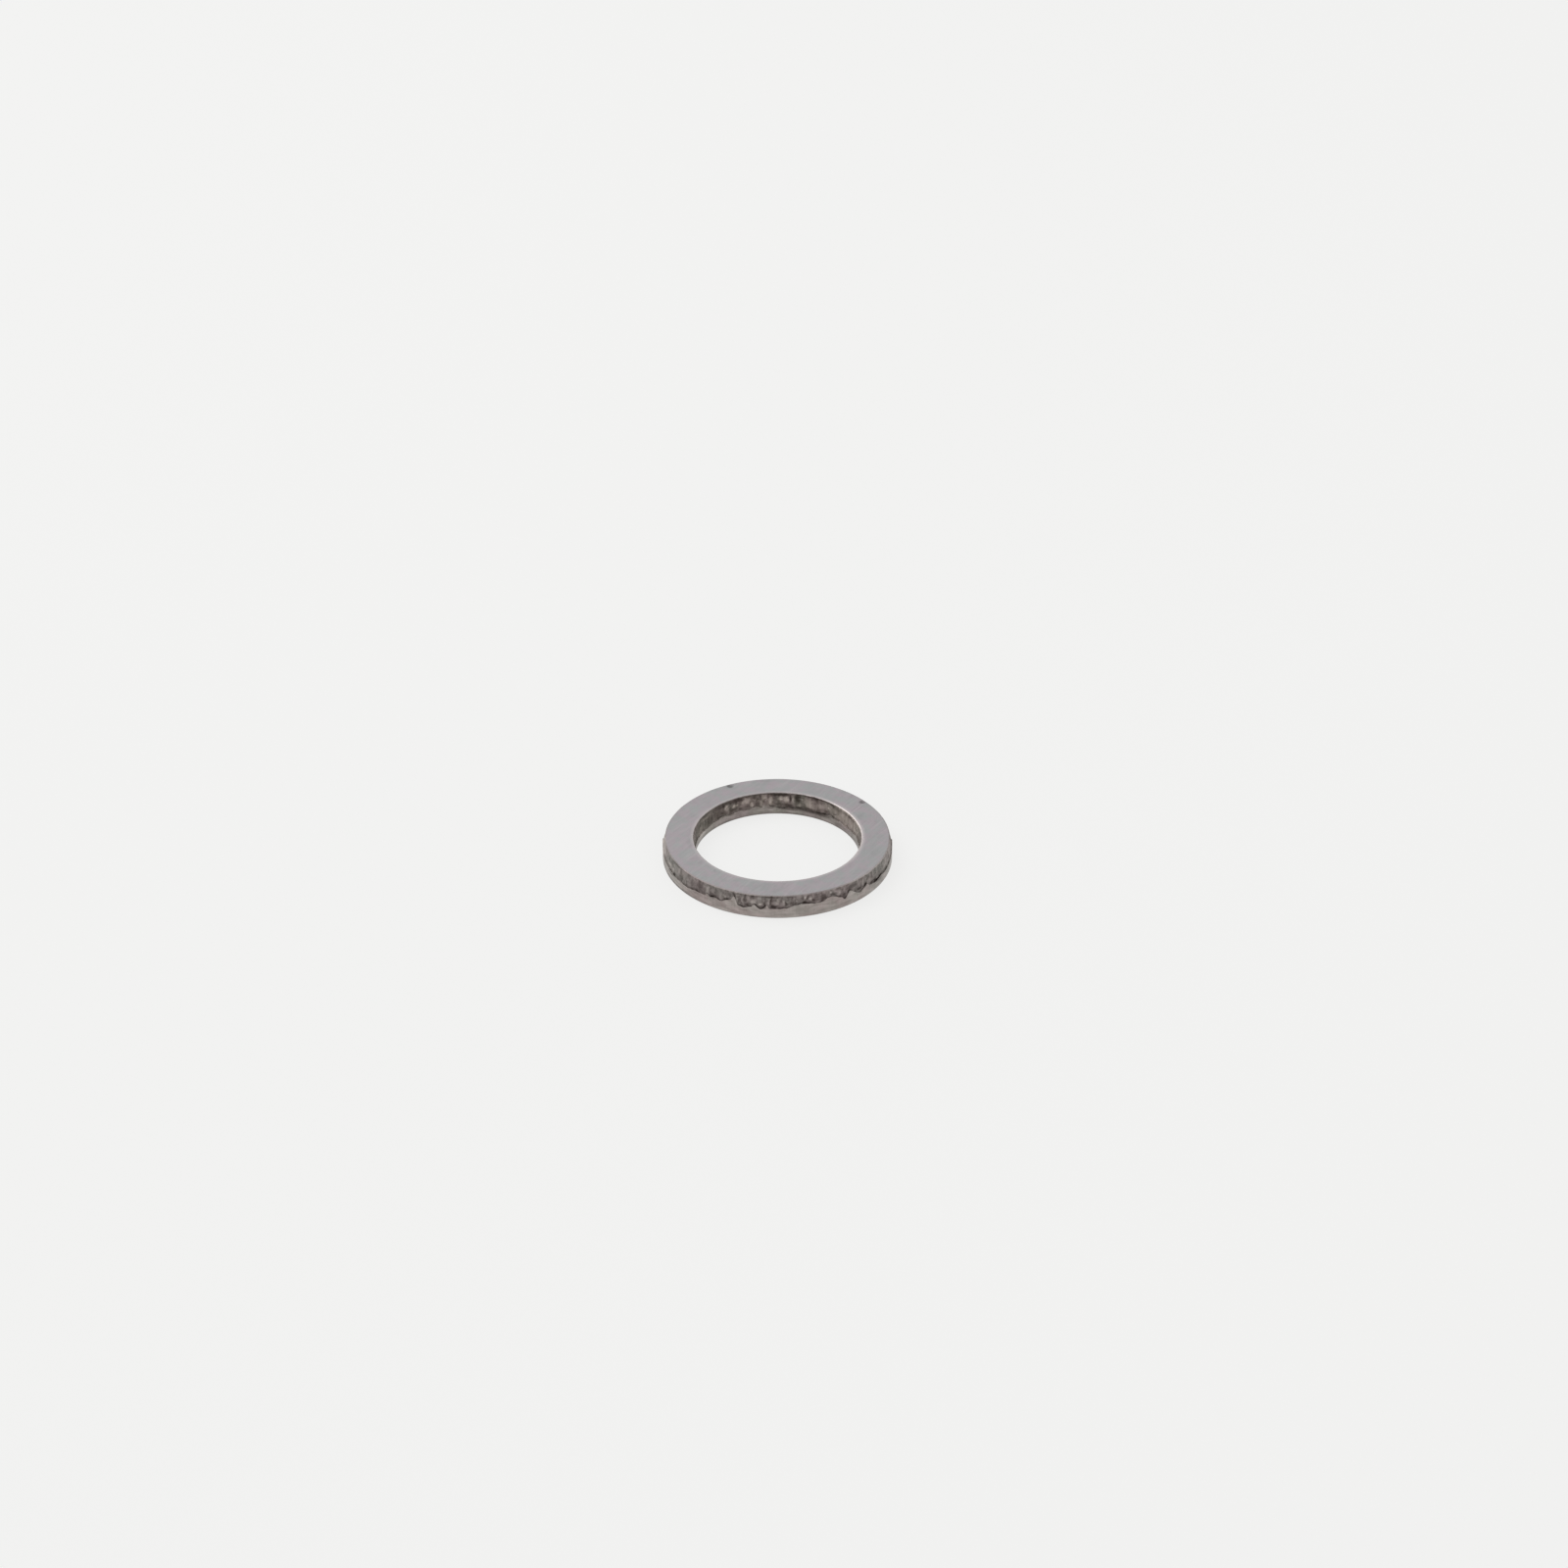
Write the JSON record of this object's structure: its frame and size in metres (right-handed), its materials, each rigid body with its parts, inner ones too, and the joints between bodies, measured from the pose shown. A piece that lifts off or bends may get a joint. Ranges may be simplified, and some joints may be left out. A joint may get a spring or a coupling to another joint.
{
  "type": "shim ring",
  "caption": "Flat punched steel ring that takes up axial play on a shaft, with sheared lands, ragged torn zones and rounded lower edges on both walls.",
  "frame": {"origin": "on the bore's axis at the bottom face, the face on the die-roll side", "axes": "+Z along the bore axis towards the burr-side face; +X and +Y are free, as the ring is round"},
  "size_m": [0.028, 0.028, 0.003],
  "materials": {
    "blanked_steel": "satin ground faces, burnished sheared lands, dark oily torn zones"
  },
  "bodies": {
    "root": {"shim_ring": "blanked_steel"}
  },
  "joints": []
}
